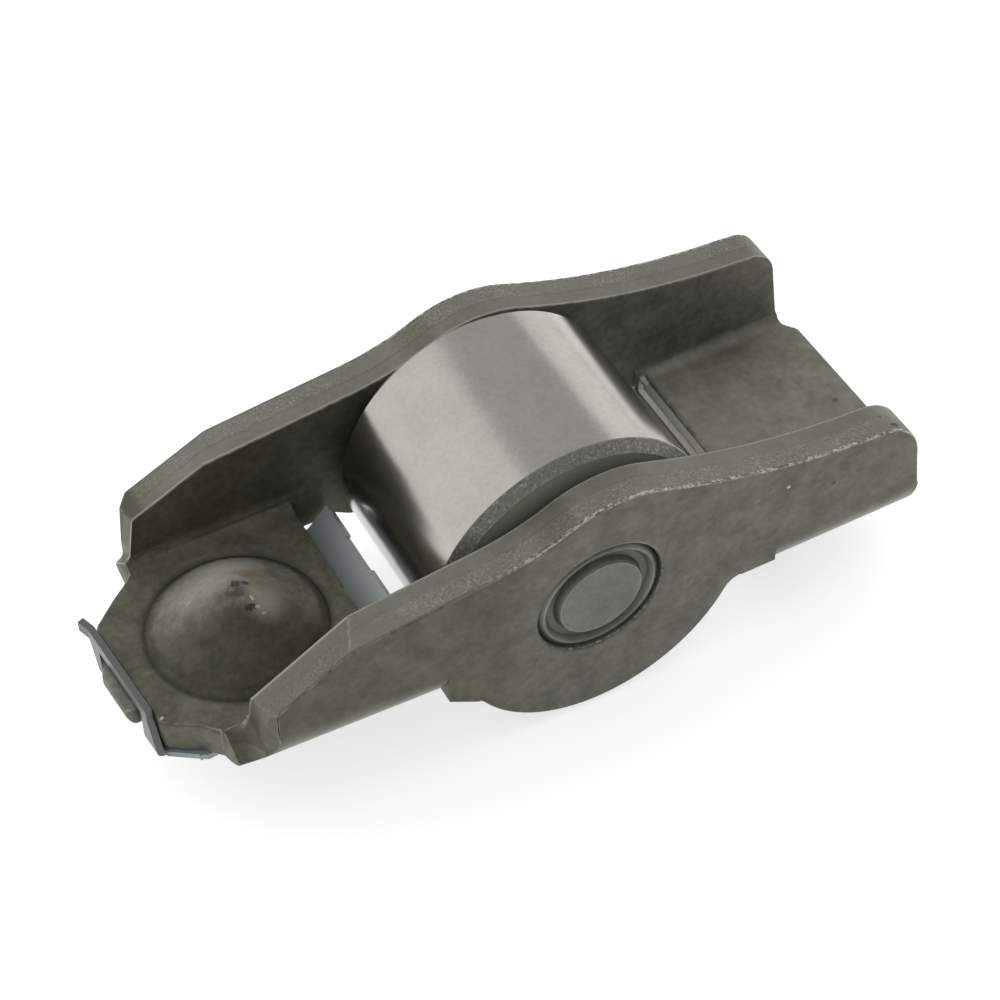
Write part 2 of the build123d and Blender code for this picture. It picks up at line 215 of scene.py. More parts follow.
class Shading:
    """One material while it is put together, on Object coordinates in millimetres."""

    def __init__(self, name: str, bare_metal: float) -> None:
        """Starts an empty metal material.

        Args:
            name: The material's name, which says what the metal is.
            bare_metal: The share of bare metal in its surface.
        """
        self.material = bpy.data.materials.new(name)
        self.material.use_nodes = True
        self.tree = self.material.node_tree
        self.tree.nodes.clear()
        coordinates = add_node(self.tree, "ShaderNodeTexCoord")
        scaled = add_node(self.tree, "ShaderNodeVectorMath", {"operation": "SCALE"}, {
            0: coordinates.outputs["Object"], "Scale": 1 / MM})
        self.place = scaled.outputs["Vector"]
        self.x, self.y, self.z = self.axes(self.place)
        self.out = self.math("ABSOLUTE", self.y)
        self.facing_x, self.facing_y, self.facing_z = self.axes(coordinates.outputs["Normal"])
        self.sideways = self.math("ABSOLUTE", self.facing_y)
        self.colour: Socket | None = None
        self.roughness: Socket | None = None
        self.height: Socket | None = None
        self.metal: Amount = bare_metal

    def noise(self, size_mm: float, detail: float = 3.0, rough: float = 0.6,
              place: Socket | None = None) -> Socket:
        """Adds a noise.

        Args:
            size_mm: How wide its lumps are.
            detail: How many finer layers it has.
            rough: How strong they are.
            place: Where it is read, which is the surface's own place if none is given.

        Returns:
            A number between 0 and 1.
        """
        node = add_node(self.tree, "ShaderNodeTexNoise", inputs={
            "Vector": self.place if place is None else place,
            "Scale": 1 / size_mm, "Detail": detail, "Roughness": rough})
        return node.outputs["Fac"]

    def dots(self, spacing_mm: float, radius: float) -> Socket:
        """Scattered soft dots, 1 in the middle and 0 from radius on, one in each cell."""
        cells = add_node(self.tree, "ShaderNodeTexVoronoi", inputs={
            "Vector": self.place, "Scale": 1 / spacing_mm, "Randomness": 1.0})
        return self.step(cells.outputs["Distance"], radius, 0.0)

    def math(self, operation: str, first: Amount, second: Amount = 0.0,
             third: Amount = 0.0) -> Socket:
        """One arithmetic step on sockets or numbers."""
        node = add_node(self.tree, "ShaderNodeMath", {"operation": operation},
                        {0: first, 1: second, 2: third})
        return node.outputs["Value"]

    def step(self, value: Amount, low: float, high: float) -> Socket:
        """Makes a smooth step.

        Args:
            value: What is compared.
            low: Where the step is 0.
            high: Where it is 1, which may be under low.

        Returns:
            The step's height, between 0 and 1.
        """
        rising = high > low
        node = add_node(self.tree, "ShaderNodeMapRange", {"interpolation_type": "SMOOTHSTEP"}, {
            "Value": value,
            "From Min": low if rising else high,
            "From Max": high if rising else low,
            "To Min": 0.0 if rising else 1.0,
            "To Max": 1.0 if rising else 0.0})
        return node.outputs["Result"]

    def band(self, value: Amount, start: float, end: float, soft: float) -> Amount:
        """1 between start and end and 0 outside, with soft borders."""
        return self.all_of(self.step(value, start - soft, start + soft),
                           self.step(value, end + soft, end - soft))

    def all_of(self, *amounts: Amount) -> Amount:
        """Multiplies amounts.

        Args:
            amounts: Amounts between 0 and 1.

        Returns:
            Their product, which is 1 only where all are.
        """
        result = amounts[0]
        for amount in amounts[1:]:
            result = self.math("MULTIPLY", result, amount)
        return result

    def axes(self, vector: Socket) -> tuple[Socket, Socket, Socket]:
        """The three numbers of a vector, each as a socket."""
        node = add_node(self.tree, "ShaderNodeSeparateXYZ", inputs={"Vector": vector})
        return (node.outputs["X"], node.outputs["Y"], node.outputs["Z"])

    def from_axis(self, first: Socket, second: Socket,
                  centre_mm: tuple[float, float]) -> Socket:
        """Measures how far the surface is from an axis.

        Args:
            first: The first of the two coordinates that fix the axis.
            second: The second of them.
            centre_mm: Where the axis stands in these two.

        Returns:
            The distance in millimetres.
        """
        across = self.math("SUBTRACT", first, centre_mm[0])
        along = self.math("SUBTRACT", second, centre_mm[1])
        squares = self.math("MULTIPLY_ADD", across, across, self.math("MULTIPLY", along, along))
        return self.math("SQRT", squares)

    def within(self, patch: Patch) -> Socket:
        """1 on a patch and 0 outside."""
        away = self.from_axis(self.x, self.y, patch.centre_mm)
        return self.step(away, patch.outer_mm, patch.inner_mm)

    def blend_colour(self, amount: Amount, colour: str, blend: Blend = Blend.COVER,
                     strength: float = 1.0) -> None:
        """Lays a colour over the present one.

        Args:
            amount: Where it is laid.
            colour: The colour, in sRGB hex.
            blend: How it meets the present one.
            strength: How strongly it covers where amount is 1.
        """
        if strength < 1.0:
            amount = self.math("MULTIPLY", amount, strength)
        node = add_node(self.tree, "ShaderNodeMix",
                        {"data_type": "RGBA", "blend_type": blend.value},
                        {0: amount, 6: self.colour, 7: linear(colour)})
        self.colour = node.outputs[2]

    def blend_roughness(self, amount: Amount, value: float) -> None:
        """Moves the roughness to a value where amount is near 1."""
        node = add_node(self.tree, "ShaderNodeMix", {"data_type": "FLOAT"}, {
            0: amount, 2: self.roughness, 3: value})
        self.roughness = node.outputs[0]

    def blend_metal(self, amount: Amount, value: float) -> None:
        """Moves the share of bare metal to a value where amount is near 1."""
        node = add_node(self.tree, "ShaderNodeMix", {"data_type": "FLOAT"}, {
            0: amount, 2: self.metal, 3: value})
        self.metal = node.outputs[0]

    def raise_height(self, amount: Amount, depth_mm: float) -> None:
        """Lifts the surface by depth_mm where amount is near 1, or sinks it if negative."""
        self.height = self.math("MULTIPLY_ADD", amount, depth_mm, self.height)

    def add_mark(self, mark: Mark) -> None:
        """Draws one mark.

        Args:
            mark: Where it lies, and how it looks.
        """
        away = add_node(self.tree, "ShaderNodeVectorMath", {"operation": "SUBTRACT"}, {
            0: self.place, 1: mark.place_mm})
        shrunk = add_node(self.tree, "ShaderNodeVectorMath", {"operation": "DIVIDE"}, {
            0: away.outputs["Vector"], 1: mark.size_mm})
        far = add_node(self.tree, "ShaderNodeVectorMath", {"operation": "LENGTH"}, {
            0: shrunk.outputs["Vector"]})
        ragged = self.math("MULTIPLY_ADD", self.noise(0.16), mark.ragged, far.outputs["Value"])
        inside = self.step(ragged, mark.outer, mark.inner)
        self.blend_colour(inside, mark.colour, strength=mark.strength)
        if mark.depth_mm:
            self.raise_height(inside, mark.depth_mm)

    def finish(self) -> bpy.types.Material:
        """Joins everything to the shader.

        Returns:
            The finished material.
        """
        relief = add_node(self.tree, "ShaderNodeBump", inputs={
            "Strength": 1.0, "Distance": MM, "Height": self.height})
        shader = add_node(self.tree, "ShaderNodeBsdfPrincipled", inputs={
            "Base Color": self.colour,
            "Metallic": self.metal,
            "Roughness": self.roughness,
            "Normal": relief.outputs["Normal"]})
        add_node(self.tree, "ShaderNodeOutputMaterial", inputs={
            "Surface": shader.outputs["BSDF"]})
        return self.material


# Case-hardened, tumbled deep-drawing steel: a dull dark grey with a faint olive tint, cloudy and
# finely grained. The real grain is finer than a pixel, so it is drawn at 0.16 mm.
TUMBLED_STEEL = Finish("tumbled case-hardened sheet steel", "#626258", "#727268", "#808076",
                       0.58, 0.08, 0.5, 2.2, 0.16, 0.014, 1.3, 0.02)
# Bare rolled spring steel: bluish grey, thin and smooth.
ROLLED_SPRING_STEEL = Finish("rolled spring steel", "#8b9397", "#98a1a5", "#a6afb3",
                             0.34, 0.05, 0.4, 1.5, 0.1, 0.002, 1.2, 0.004)
# Turned steel whose ends were staked: dull, warm grey.
STAKED_AXLE_STEEL = Finish("turned and staked axle steel", "#67685f", "#71726a", "#7a7b73",
                           0.44, 0.06, 0.6, 1.6, 0.12, 0.006, 1.1, 0.008)
# Ground and honed bearing steel: satin bright with a warm tone.
GROUND_BEARING_STEEL = Finish("ground bearing steel", "#aaa8a1", "#b0aea7", "#b5b3ac",
                              0.2, 0.02, 1.0, 3.0, 0.1, 0.0004, 2.5, 0.001)
# Ground needle steel: bright.
GROUND_NEEDLE_STEEL = Finish("ground needle steel", "#c0beb8", "#cac8c2", "#d4d2cc",
                             0.16, 0.02, 1.0, 2.0, 0.1, 0.0005, 2.0, 0.001)


def dress(node_name: str, material: bpy.types.Material) -> None:
    """Gives a CAD node its material.

    Args:
        node_name: The node.
        material: What it is made of.
    """
    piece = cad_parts[node_name]
    piece.data.materials.clear()
    piece.data.materials.append(material)
    log.info("%s is dressed in %s", node_name, material.name)


def steady_edges(shape: bmesh.types.BMesh, edges: list[bmesh.types.BMEdge], offset: float,
                 steps: int) -> list[bmesh.types.BMEdge]:
    """Finds the edges that can be broken without a face that runs off the shape.

    Args:
        shape: The shape.
        edges: Its sharp edges.
        offset: How wide the broken edges are.
        steps: How many faces run round each edge.

    Returns:
        The edges, without those beside a corner that a trial bevel throws off the shape.
    """
    shape.edges.index_update()
    surface = BVHTree.FromBMesh(shape)
    trial = shape.copy()
    trial.edges.ensure_lookup_table()
    result = bmesh.ops.bevel(trial, geom=[trial.edges[edge.index] for edge in edges],
                             offset=offset, offset_type="OFFSET", segments=steps, profile=0.5,
                             affect="EDGES", clamp_overlap=False, material=-1)
    thrown = {vertex for vertex in result["verts"]
              if surface.find_nearest(vertex.co)[3] > THROWN * offset}
    roots = [other.co.copy() for vertex in thrown for face in vertex.link_faces
             for other in face.verts if other not in thrown]
    trial.free()
    if not roots:
        return edges
    near = KDTree(len(roots))
    for number, root in enumerate(roots):
        near.insert(root, number)
    near.balance()
    return [edge for edge in edges
            if min(near.find(vertex.co)[2] for vertex in edge.verts) > CLEAR * offset]


def rounded_copy(node_name: str, name: str, round_mm: float, steps: int,
                 plain: Callable[[Vector], bool]) -> bpy.types.Object:
    """Copies a CAD node and breaks its sharp edges.

    Args:
        node_name: The node to copy.
        name: The new piece's name.
        round_mm: How wide the broken edges are.
        steps: How many faces run round each edge.
        plain: Says whether the edges at a place are left as they are.

    Returns:
        The new piece, which stands for the node.
    """
    mesh = bpy.data.meshes.new(name)
    shape = bmesh.new()
    shape.from_mesh(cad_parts[node_name].data)
    bmesh.ops.remove_doubles(shape, verts=shape.verts, dist=MERGE_MM * MM)
    loose = [vertex for vertex in shape.verts if not plain(vertex.co / MM)]
    between = [edge for edge in shape.edges
               if not any(plain(vertex.co / MM) for vertex in edge.verts)]
    bmesh.ops.dissolve_limit(shape, angle_limit=math.radians(COPLANAR_DEGREES), verts=loose,
                             edges=between, delimit={"NORMAL"})
    sharp = [edge for edge in shape.edges
             if len(edge.link_faces) == 2
             and edge.calc_face_angle(0.0) > math.radians(EDGE_DEGREES)
             and not any(plain(vertex.co / MM) for vertex in edge.verts)]
    sharp = steady_edges(shape, sharp, round_mm * MM, steps)
    lit_worn = shape.verts.layers.float.new(LIT_WORN_EDGE)
    broken = bmesh.ops.bevel(shape, geom=sharp, offset=round_mm * MM, offset_type="OFFSET",
                             segments=steps, profile=0.5, affect="EDGES", clamp_overlap=False,
                             material=-1)
    bevelled = set(broken["faces"])
    low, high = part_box(node_name)
    for vertex in broken["verts"]:
        vertex.co = [min(max(place, least), most)
                     for place, least, most in zip(vertex.co, low, high)]
        middle = all(face in bevelled for face in vertex.link_faces)
        vertex[lit_worn] = 1.0 if middle else 0.0
    bmesh.ops.triangulate(shape, faces=[face for face in shape.faces if len(face.verts) > 4])
    shape.normal_update()
    for face in shape.faces:
        face.smooth = True
    for edge in shape.edges:
        edge.smooth = edge.calc_face_angle(0.0) < math.radians(HARD_DEGREES)
    shape.to_mesh(mesh)
    shape.free()
    piece = bpy.data.objects.new(name, mesh)
    bpy.context.scene.collection.objects.link(piece)
    weighted = piece.modifiers.new("flat faces stay flat", "WEIGHTED_NORMAL")
    weighted.keep_sharp = True
    weighted.weight = LARGE_FACE_WEIGHT
    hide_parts(node_name)
    return piece


@dataclass
class Lever:
    """The stamped and bent lever."""

    edge_round_mm: float = 0.12
    edge_steps: int = 2
    wall_inside_mm: float = 6.65
    wall_outside_mm: float = 9.0
    web_top_mm: float = 3.65
    socket_end_mm: float = -1.9
    ears_mm: tuple[float, float] = (8.3, 29.1)
    bore_clear_mm: float = 4.2
    # The punched edge: how much of it is sheared, how far that border wanders, how coarse and
    # deep the broken part is, and how wide the burr is. The burr comes in between two x.
    shear_band_mm: float = 1.05
    wander_mm: float = 0.5
    broken_grain_mm: float = 0.15
    broken_patch_mm: float = 2.4
    broken_depth_mm: float = 0.035
    burr_mm: float = 0.25
    burr_from_mm: tuple[float, float] = (9.0, 15.0)
    # The dome, the ring around it, and the places of its painted highlights, flecks and stains.
    dome_radius_mm: float = 4.75
    ring_radius_mm: float = 5.15
    pressed_edge_mm: float = 1.2
    dome_lump_mm: float = 1.3
    dome_dent_mm: float = 0.1
    socket_web_to_mm: tuple[float, float] = (7.0, 6.0)
    painted_highlight: Patch = Patch((-0.3, 2.5), 0.5, 3.6)
    flecked: Patch = Patch((-0.3, 2.5), 2.5, 4.2)
    painted_highlight_behind: Patch = Patch((1.3, 3.5), 0.8, 2.8)
    straw: Patch = Patch((1.25, -0.8), 0.3, 1.6)
    brown: Patch = Patch((1.2, 0.8), 0.4, 1.6)
    smoke: Patch = Patch((-0.2, -0.4), 0.3, 1.5)
    # The pad's web, whose window edge is sheared above and torn below.
    pad_top_mm: float = 2.6
    pad_lighter_mm: tuple[float, float] = (37.0, 30.5)
    window_edge_mm: tuple[float, float] = (29.35, 29.85)
    window_half_mm: tuple[float, float] = (6.4, 6.2)
    sheared_from_mm: tuple[float, float] = (1.5, 1.7)
    # The walls: where the pressed ear plates start, how deep they lie, where the socket half
    # ends, and where the bends start.
    plate_from_mm: tuple[float, float] = (11.2, 12.3)
    plate_depth_mm: float = 0.06
    socket_half_mm: tuple[float, float] = (14.0, 11.0)
    bend_from_mm: tuple[float, float] = (7.2, 7.9)
    scars: tuple[Mark, ...] = (
        Mark((0.3, 0.4, 6.9), (0.36, 0.3, 0.8), "#34332a", 0.8, -0.06),
        Mark((0.8, 0.25, 6.8), (0.24, 0.2, 0.8), "#34332a", 0.8, -0.05),
        Mark((0.42, -1.26, 6.4), (0.42, 0.2, 0.8), "#2e2d25", 0.85, -0.06),
        Mark((0.7, -0.8, 6.6), (0.1, 0.24, 0.8), "#c6c0af", 0.7),
        Mark((0.8, -1.3, 6.4), (0.16, 0.14, 0.8), "#c6c0af", 0.7),
        Mark((1.0, -1.65, 6.3), (0.2, 0.09, 0.8), "#c6c0af", 0.6),
        Mark((-2.2, 1.3, 5.4), (0.2, 0.08, 0.8), "#bdbbad", 0.5),
        Mark((-0.9, 2.3, 5.5), (0.3, 0.08, 0.8), "#c6c4b8", 0.5),
    )
    marks: tuple[Mark, ...] = (
        Mark((27.46, -9.0, 7.68), (0.35, 0.4, 0.18), "#a5a598", 0.5, -0.06),
        Mark((29.54, -9.0, 7.79), (0.12, 0.3, 0.12), "#e2e2da", 0.9),
        Mark((32.67, -9.0, 6.44), (0.25, 0.3, 0.15), "#3f3f38", 0.7),
        Mark((34.26, -9.0, 6.67), (0.2, 0.3, 0.14), "#3f3f38", 0.6),
        Mark((38.71, -0.81, 2.6), (0.22, 0.16, 0.3), "#45453d", 0.7),
        Mark((36.86, -8.47, 8.5), (0.3, 0.2, 0.5), "#35352f", 0.8, -0.05),
        Mark((36.3, -7.7, 8.6), (0.22, 0.15, 0.5), "#45453d", 0.6),
        Mark((3.73, 0.85, 5.0), (0.14, 0.14, 0.5), "#dedfda", 0.9),
        Mark((-6.17, -3.82, 3.65), (0.12, 0.12, 0.4), "#d5d6cf", 0.8),
        Mark((-1.86, -3.54, 3.65), (0.25, 0.16, 0.4), "#3a3a33", 0.6),
    )

    def by_the_dome(self, place: Vector) -> bool:
        """Whether a place lies on the dome or its ring, whose edges are pressed, not cut."""
        return (math.hypot(place.x, place.y) < self.ring_radius_mm + self.pressed_edge_mm
                and place.z > self.web_top_mm - 0.5)

    def over_web(self, shading: Shading) -> Socket:
        """1 above the socket's web and 0 on it."""
        return shading.step(shading.z, self.web_top_mm, self.web_top_mm + 0.4)

    def cut_edges(self, shading: Shading) -> None:
        """Draws what the punch leaves on the walls' cut edges.

        The inner part is sheared smooth, the outer part is broken and rough, and a torn bright
        burr runs along the outer corner, but not at the socket end. There the edge is darker.

        Args:
            shading: The lever's shading.
        """
        at_ears = shading.band(shading.x, *self.ears_mm, 0.3)
        cut = shading.all_of(shading.step(shading.sideways, 0.55, 0.3),
                             shading.step(shading.out, self.wall_inside_mm - 0.08,
                                          self.wall_inside_mm),
                             shading.math("MAXIMUM", self.over_web(shading), at_ears))
        ragged = shading.math("MULTIPLY_ADD", shading.noise(0.7, detail=4.0), self.wander_mm,
                              shading.math("SUBTRACT", shading.out, self.wander_mm / 2))
        border = self.wall_inside_mm + self.shear_band_mm
        broken = shading.all_of(cut, shading.step(ragged, border - 0.08, border + 0.08))
        sheared = shading.math("SUBTRACT", cut, broken)
        shading.blend_colour(sheared, "#78786f", strength=0.6)
        shading.blend_roughness(sheared, 0.45)
        shading.blend_colour(broken, "#828279", strength=0.6)
        grain = shading.noise(self.broken_grain_mm, rough=0.7)
        patch = shading.step(shading.noise(self.broken_patch_mm, detail=2.0, rough=0.5),
                             0.3, 0.65)
        bright, dim = shading.step(grain, 0.48, 0.74), shading.step(grain, 0.45, 0.3)
        shading.blend_colour(shading.all_of(broken, patch, bright), "#a3a399")
        shading.blend_colour(shading.all_of(broken, patch, dim), "#65655c")
        shading.raise_height(shading.all_of(broken, grain), self.broken_depth_mm)
        along = shading.step(shading.x, *self.burr_from_mm)
        torn = shading.step(shading.noise(0.3, rough=0.7), 0.46, 0.58)
        lip = shading.all_of(cut, shading.step(shading.out, self.wall_outside_mm - self.burr_mm,
                                               self.wall_outside_mm - 0.1))
        shading.blend_colour(lip, "#55554c", strength=0.5)
        shading.blend_colour(shading.all_of(lip, torn, along), "#d2d2c8")
        at_end = shading.all_of(cut, shading.step(shading.x, self.socket_end_mm,
                                                  self.socket_end_mm - 0.6))
        shading.blend_colour(at_end, "#c4c4b8", Blend.DARKEN)
        slope = shading.all_of(cut, shading.step(shading.facing_x, -0.3, -0.4),
                               shading.step(shading.facing_z, 0.6, 0.8))
        shading.blend_colour(slope, "#e2e2d8", Blend.DARKEN)
        line = shading.all_of(cut, shading.band(ragged, border - 0.04, border + 0.04, 0.05))
        shading.blend_colour(line, "#4a4a42", strength=0.18)
        # Painted highlight along the inner corner of the cut edge.
        corner = shading.all_of(cut, shading.step(shading.out, self.wall_inside_mm + 0.22,
                                                  self.wall_inside_mm + 0.1))
        shading.blend_colour(corner, "#a9a99f", strength=0.6)

    def socket(self, shading: Shading) -> None:
        """Draws the stained dome with painted shade and highlights, and the ring pressed in around
        it.

        Args:
            shading: The lever's shading.
        """
        radius = shading.from_axis(shading.x, shading.y, (0.0, 0.0))
        on_top = shading.step(shading.z, self.web_top_mm - 0.3, self.web_top_mm - 0.22)
        web = shading.all_of(on_top, shading.step(shading.z, self.web_top_mm + 0.5,
                                                  self.web_top_mm + 0.1),
                             shading.step(shading.x, *self.socket_web_to_mm))
        shading.blend_colour(web, "#d8d8cb", Blend.DARKEN, 0.8)
        dome = shading.all_of(on_top, shading.step(radius, self.dome_radius_mm + 0.15,
                                                   self.dome_radius_mm - 0.25))
        lumps = shading.noise(self.dome_lump_mm, rough=0.5)
        # Painted shade: the dome darkens towards its front side, broken up by its lumps.
        lower = shading.math("MULTIPLY_ADD", shading.x, 0.3, shading.y)
        lower = shading.math("MULTIPLY_ADD", lumps, 1.6, lower)
        shading.blend_colour(shading.all_of(dome, shading.step(lower, 2.0, -1.5)), "#b4b4a8",
                             Blend.DARKEN)
        # Painted highlights on the dome's upper side and behind its tip.
        shading.blend_colour(shading.all_of(dome, shading.within(self.painted_highlight)), "#6e6e68",
                             Blend.LIGHTEN)
        shading.blend_colour(shading.all_of(dome, shading.within(self.painted_highlight_behind)),
                             "#5c5c57", Blend.LIGHTEN)
        flecks = shading.step(shading.noise(0.18, rough=0.7), 0.5, 0.75)
        worn = shading.step(shading.noise(1.1), 0.42, 0.66)
        shading.blend_colour(
            shading.all_of(dome, flecks, worn, shading.within(self.flecked)), "#98968a")
        shading.blend_roughness(dome, 0.54)
        shading.blend_metal(dome, 0.3)
        shading.raise_height(shading.all_of(dome, lumps), self.dome_dent_mm)
        cloud = shading.noise(1.0, detail=4.0)
        shading.blend_colour(shading.all_of(dome, shading.within(self.straw)), "#928c7c")
        shading.blend_colour(shading.all_of(dome, shading.within(self.brown),
                                            shading.step(cloud, 0.35, 0.6)), "#7c6d56")
        shading.blend_colour(shading.all_of(dome, shading.within(self.smoke),
                                            shading.step(cloud, 0.65, 0.4)), "#45453a")
        # Painted shade in the ring pressed in round the dome's foot.
        ring = shading.all_of(on_top, shading.band(radius, self.ring_radius_mm - 0.3,
                                                   self.ring_radius_mm + 0.1, 0.22))
        shading.blend_colour(ring, "#34342d", strength=0.7)
        for scar in self.scars:
            shading.add_mark(scar)

    def pad_window(self, shading: Shading) -> None:
        """Paints light onto the pad's web and onto the sheared strip at its window edge.

        Args:
            shading: The lever's shading.
        """
        start, end = self.window_edge_mm
        # Painted light on the pad's up-facing web, more of it towards the window.
        web = shading.all_of(shading.step(shading.x, end, end + 0.3),
                             shading.step(shading.facing_z, 0.3, 0.9),
                             shading.step(shading.z, self.pad_top_mm + 1.0,
                                          self.pad_top_mm + 0.1))
        shading.blend_colour(web, "#484842", Blend.LIGHTEN, 0.9)
        near_window = shading.step(shading.x, *self.pad_lighter_mm)
        shading.blend_colour(shading.all_of(web, near_window), "#3a3a35", Blend.LIGHTEN)
        between = shading.step(shading.out, *self.window_half_mm)
        above = shading.step(shading.z, *self.sheared_from_mm)
        # The bright strip on the window's edge face: partly its sheared finish, partly painted
        # light.
        strip = shading.all_of(between, shading.band(shading.x, start - 0.1, end - 0.12, 0.04),
                               above)
        shading.blend_colour(strip, "#b9b9b0")
        torn = shading.all_of(between, shading.step(shading.x, start + 0.1, start),
                              shading.step(shading.x, start - 0.4, start - 0.2),
                              shading.step(shading.z, *reversed(self.sheared_from_mm)))
        shading.blend_colour(torn, "#3c3c35")
        line = shading.all_of(between, shading.band(shading.x, end - 0.1, end + 0.03, 0.04),
                              shading.step(shading.z, self.pad_top_mm - 0.4,
                                           self.pad_top_mm - 0.2))
        shading.blend_colour(line, "#3c3c35", strength=0.6)

    def lit_worn_edges(self, shading: Shading) -> None:
        """Brightens the broken edges: worn bare metal, and a painted highlight along them.

        Args:
            shading: The lever's shading.
        """
        edge = add_node(shading.tree, "ShaderNodeAttribute", {"attribute_name": LIT_WORN_EDGE})
        patchy = shading.step(shading.noise(0.8, detail=4.0, rough=0.65), 0.36, 0.6)
        from_bore = shading.step(shading.from_axis(shading.x, shading.z, AXLE_MM),
                                 self.bore_clear_mm, self.bore_clear_mm + 0.3)
        # Worn bare metal and a painted highlight along the middle of each broken edge, kept off
        # the bore.
        lit_worn = shading.all_of(edge.outputs["Fac"], patchy, from_bore)
        shading.blend_colour(lit_worn, "#b5b5aa", strength=0.5)
        shading.blend_metal(lit_worn, 0.8)
        shading.blend_roughness(lit_worn, 0.38)
        burr = shading.all_of(edge.outputs["Fac"],
                              shading.step(shading.out, self.wall_outside_mm - 0.4,
                                           self.wall_outside_mm - 0.2),
                              self.over_web(shading),
                              shading.step(shading.x, *self.burr_from_mm), from_bore)
        torn = shading.step(shading.noise(0.35, rough=0.7), 0.42, 0.56)
        shading.blend_colour(shading.all_of(burr, torn), "#d9d9cf")

    def creases(self, shading: Shading) -> None:
        """Sinks the walls where the ear plates were pressed flat, and darkens the socket half.

        Args:
            shading: The lever's shading.
        """
        on_wall = shading.step(shading.sideways, 0.7, 0.9)
        plate = shading.step(shading.x, *self.plate_from_mm)
        shading.raise_height(shading.all_of(on_wall, plate), -self.plate_depth_mm)
        socket_half = shading.step(shading.x, *self.socket_half_mm)
        shading.blend_colour(shading.all_of(on_wall, socket_half), "#e2e2d8", Blend.DARKEN)

    def painted_bend_sheen(self, shading: Shading) -> None:
        """Paints a sheen reflecting the floor onto the outside of the bends, and makes them
        glossier.

        Args:
            shading: The lever's shading.
        """
        bend = shading.all_of(shading.step(shading.out, *self.bend_from_mm),
                              shading.step(shading.facing_z, -0.02, -0.5),
                              shading.step(shading.sideways, 0.2, 0.5))
        # Painted reflection of the floor on the bends' outside.
        shading.blend_colour(bend, "#9c9c91", strength=0.6)
        shading.blend_metal(bend, 0.65)
        shading.blend_roughness(bend, 0.38)

    def material(self) -> bpy.types.Material:
        """Puts the lever's steel together.

        Returns:
            The steel, with all its zones and marks.
        """
        shading = TUMBLED_STEEL.build()
        self.cut_edges(shading)
        self.socket(shading)
        self.pad_window(shading)
        self.lit_worn_edges(shading)
        self.creases(shading)
        self.painted_bend_sheen(shading)
        for mark in self.marks:
            shading.add_mark(mark)
        return shading.finish()

    def build(self) -> None:
        """Makes the lever with broken edges and dresses it."""
        piece = rounded_copy("lever", "stamped_lever", self.edge_round_mm, self.edge_steps,
                             self.by_the_dome)
        piece.data.materials.append(self.material())
        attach(piece, LEVER_BODY)
        log.info("stamped_lever has %d faces", len(piece.data.polygons))


@dataclass
class Clip:
    """The spring clip under the socket."""

    front_mm: float = -6.0
    tail_mm: float = 6.6

    def build(self) -> None:
        """Dresses the clip, whose front blade is darker and whose tail is paler."""
        shading = ROLLED_SPRING_STEEL.build()
        front = shading.step(shading.x, self.front_mm, self.front_mm - 0.5)
        shading.blend_metal(front, 0.5)
        shading.blend_colour(front, "#666964")
        tail = shading.step(shading.x, self.tail_mm, self.tail_mm + 0.8)
        shading.blend_metal(tail, 0.25)
        shading.blend_colour(tail, "#c3cacc")
        dress("retaining_clip", shading.finish())


